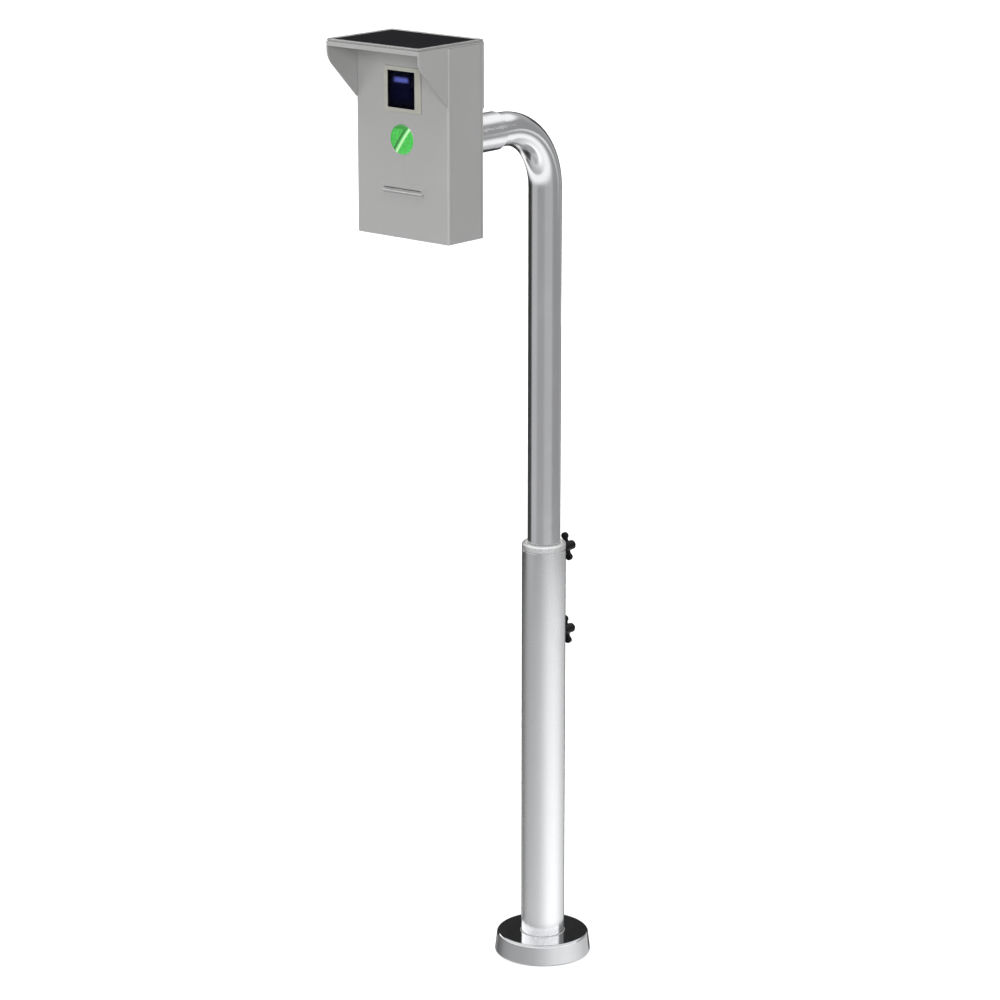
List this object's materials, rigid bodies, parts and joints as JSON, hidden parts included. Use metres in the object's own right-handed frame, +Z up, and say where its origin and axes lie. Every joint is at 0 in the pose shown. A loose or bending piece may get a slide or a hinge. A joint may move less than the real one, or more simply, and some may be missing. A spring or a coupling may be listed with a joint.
{
  "type": "charging terminal post",
  "caption": "Telescopic stainless gooseneck post with a bolted round foot and a hooded sheet-metal head holding a display, a tap target and a card slot.",
  "frame": {"origin": "on the ground, on the axis of the post", "axes": "+Z up; the head and its display face -Y; +X is on the right of a person who reads the display"},
  "size_m": [0.1614, 0.4213, 1.3676],
  "materials": {
    "stainless_tube": "satin stainless, fine brushing along the tube",
    "collar_steel": "turned stainless",
    "polished_steel": "polished stainless, spun",
    "plate_steel": "zinc-plated plate",
    "boss_steel": "turned stainless, welded on",
    "fastener_steel": "zinc-plated",
    "silver_sheet": "satin silver-grey coating on sheet metal",
    "trim_metal": "satin anodised",
    "slot_trim": "satin silver moulding",
    "window_black": "dark gloss polycarbonate",
    "knob_black": "fine-textured black moulding",
    "terminal_black": "moulded",
    "bezel_grey": "light warm grey moulding",
    "nylon": "natural nylon",
    "rubber": "moulded rubber",
    "display_lens": "smoked hard-coated window",
    "display_lcd": "lit dark blue screen",
    "target_green": "translucent green lens, lit from behind",
    "circuit_board": "solder mask",
    "case_metal": "folded sheet case"
  },
  "bodies": {
    "post": {"base_plate": "plate_steel", "anchor_bolt_1": "fastener_steel", "anchor_bolt_2": "fastener_steel", "anchor_bolt_3": "fastener_steel", "anchor_bolt_4": "fastener_steel", "earth_stud": "fastener_steel", "inlet_grommet": "rubber", "lower_tube": "stainless_tube", "collar_ring": "collar_steel", "upper_guide_bush": "nylon", "upper_clamp_boss": "boss_steel", "lower_clamp_boss": "boss_steel"},
    "foot_cover": {"base_cover": "polished_steel"},
    "guide": {"lower_guide_bush": "nylon"},
    "upper_pad": {"upper_clamp_pad": "nylon"},
    "upper_knob": {"upper_clamp_stud": "fastener_steel", "upper_clamp_wing": "knob_black"},
    "lower_pad": {"lower_clamp_pad": "nylon"},
    "lower_knob": {"lower_clamp_stud": "fastener_steel", "lower_clamp_wing": "knob_black"},
    "mast": {"mast_tube": "stainless_tube", "head_socket": "stainless_tube", "socket_flange": "plate_steel", "lower_bush_clip": "fastener_steel", "upper_bush_clip": "fastener_steel", "socket_set_screw_1": "fastener_steel", "socket_set_screw_2": "fastener_steel", "flange_bolt_1": "fastener_steel", "flange_bolt_2": "fastener_steel", "flange_bolt_3": "fastener_steel", "flange_bolt_4": "fastener_steel", "back_screw_1": "fastener_steel", "back_screw_2": "fastener_steel", "back_screw_3": "fastener_steel", "back_screw_4": "fastener_steel", "board_standoff_1": "fastener_steel", "board_standoff_2": "fastener_steel", "board_standoff_3": "fastener_steel", "board_standoff_4": "fastener_steel", "head_body": "silver_sheet", "back_panel": "silver_sheet", "hood": "silver_sheet", "top_frame": "trim_metal", "card_slot_bezel": "slot_trim", "top_window": "window_black", "terminal_block": "terminal_black", "display_bezel": "bezel_grey", "head_grommet": "rubber", "display_window": "display_lens", "display_module": "display_lcd", "tap_target": "target_green", "reader_board": "circuit_board", "controller_board": "circuit_board", "antenna_board": "circuit_board", "card_reader": "case_metal", "power_supply": "case_metal"}
  },
  "joints": [
    {"name": "cover_lift", "type": "slide", "parent": "post", "child": "foot_cover", "axis": [0, 0, 1], "range_m": [0, 0.4]},
    {"name": "mast_lift", "type": "slide", "parent": "post", "child": "guide", "axis": [0, 0, 1], "range_m": [-0.13, 0.17]},
    {"name": "mast_swivel", "type": "hinge", "parent": "guide", "child": "mast", "pos_m": [0, 0, 0.62], "axis": [0, 0, 1], "range_deg": [-170, 170]},
    {"name": "upper_clamp_travel", "type": "slide", "parent": "post", "child": "upper_pad", "axis": [0, 1, 0], "range_m": [0, 0.0019]},
    {"name": "upper_clamp_turn", "type": "hinge", "parent": "upper_pad", "child": "upper_knob", "pos_m": [0, 0.05, 0.6036], "axis": [0, 1, 0], "range_deg": [0, 540]},
    {"name": "lower_clamp_travel", "type": "slide", "parent": "post", "child": "lower_pad", "axis": [0, 1, 0], "range_m": [0, 0.0019]},
    {"name": "lower_clamp_turn", "type": "hinge", "parent": "lower_pad", "child": "lower_knob", "pos_m": [0, 0.05, 0.4788], "axis": [0, 1, 0], "range_deg": [0, 540]}
  ],
  "couplings": [
    {"joint": "upper_clamp_travel", "follows": "upper_clamp_turn", "m_per_rad": 0.00019894},
    {"joint": "lower_clamp_travel", "follows": "lower_clamp_turn", "m_per_rad": 0.00019894}
  ]
}
